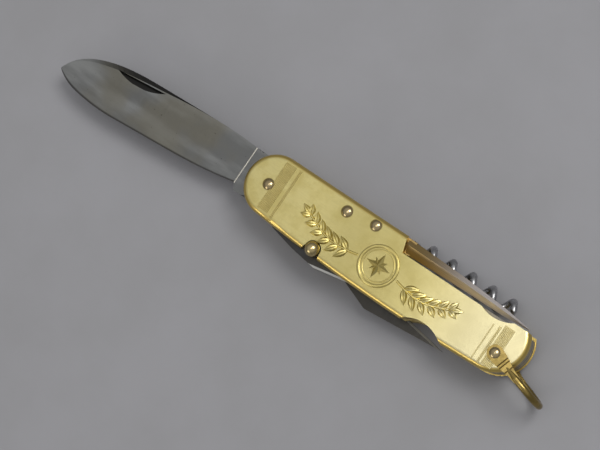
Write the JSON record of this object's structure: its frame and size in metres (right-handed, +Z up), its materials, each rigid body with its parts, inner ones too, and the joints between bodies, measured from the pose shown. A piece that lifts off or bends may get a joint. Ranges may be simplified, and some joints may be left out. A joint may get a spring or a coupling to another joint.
{
  "type": "rigging knife",
  "caption": "Folding sailor's knife with stamped brass scales, open main blade, punch, can opener, marlinspike, corkscrew and a brass bail",
  "frame": {"origin": "centre of the footprint, on the plane that the knife's rear side rests on", "axes": "X along the handle towards the bail, Y towards the back, Z up through the front scale"},
  "size_m": [0.1894, 0.0275, 0.0179],
  "materials": {
    "scale_brass": "satin",
    "liner_brass": "satin",
    "pin_brass": "polished",
    "knob_brass": "polished",
    "bail_brass": "polished",
    "blade_steel": "satin",
    "tool_steel": "satin",
    "spring_steel": "satin",
    "spike_steel": "satin",
    "worm_steel": "polished"
  },
  "bodies": {
    "handle": {"front_scale": "scale_brass", "rear_scale": "scale_brass", "front_liner": "liner_brass", "front_centre_liner": "liner_brass", "rear_centre_liner": "liner_brass", "rear_liner": "liner_brass", "front_backspring": "spring_steel", "middle_backspring": "spring_steel", "rear_backspring": "spring_steel", "back_pin_bush": "spring_steel", "blade_pin": "pin_brass", "spring_pin": "pin_brass", "back_tool_pin": "pin_brass", "bail_pin": "pin_brass"},
    "main_blade": {"main_blade": "blade_steel"},
    "punch": {"punch": "tool_steel", "punch_knob": "knob_brass"},
    "can_opener": {"can_opener": "tool_steel"},
    "marlinspike": {"marlinspike": "spike_steel"},
    "corkscrew": {"corkscrew": "worm_steel"},
    "bail": {"bail": "bail_brass"}
  },
  "joints": [
    {"name": "main_blade_hinge", "type": "hinge", "parent": "handle", "child": "main_blade", "pos_m": [-0.01028, 0.00115, 0.0093], "axis": [0, 0, 1], "range_deg": [0, 170]},
    {"name": "punch_hinge", "type": "hinge", "parent": "handle", "child": "punch", "pos_m": [-0.01028, 0.00115, 0.0093], "axis": [0, 0, -1], "range_deg": [0, 160]},
    {"name": "can_opener_hinge", "type": "hinge", "parent": "handle", "child": "can_opener", "pos_m": [-0.01028, 0.00115, 0.0093], "axis": [0, 0, -1], "range_deg": [0, 172]},
    {"name": "marlinspike_hinge", "type": "hinge", "parent": "handle", "child": "marlinspike", "pos_m": [0.02522, 0.00875, 0.0093], "axis": [0, 0, 1], "range_deg": [0, 90]},
    {"name": "corkscrew_hinge", "type": "hinge", "parent": "handle", "child": "corkscrew", "pos_m": [0.02522, 0.00875, 0.0093], "axis": [0, 0, 1], "range_deg": [0, 90]},
    {"name": "bail_hinge", "type": "hinge", "parent": "handle", "child": "bail", "pos_m": [0.07602, -0.00275, 0.0093], "axis": [0, 0, 1], "range_deg": [-85, 60]}
  ]
}
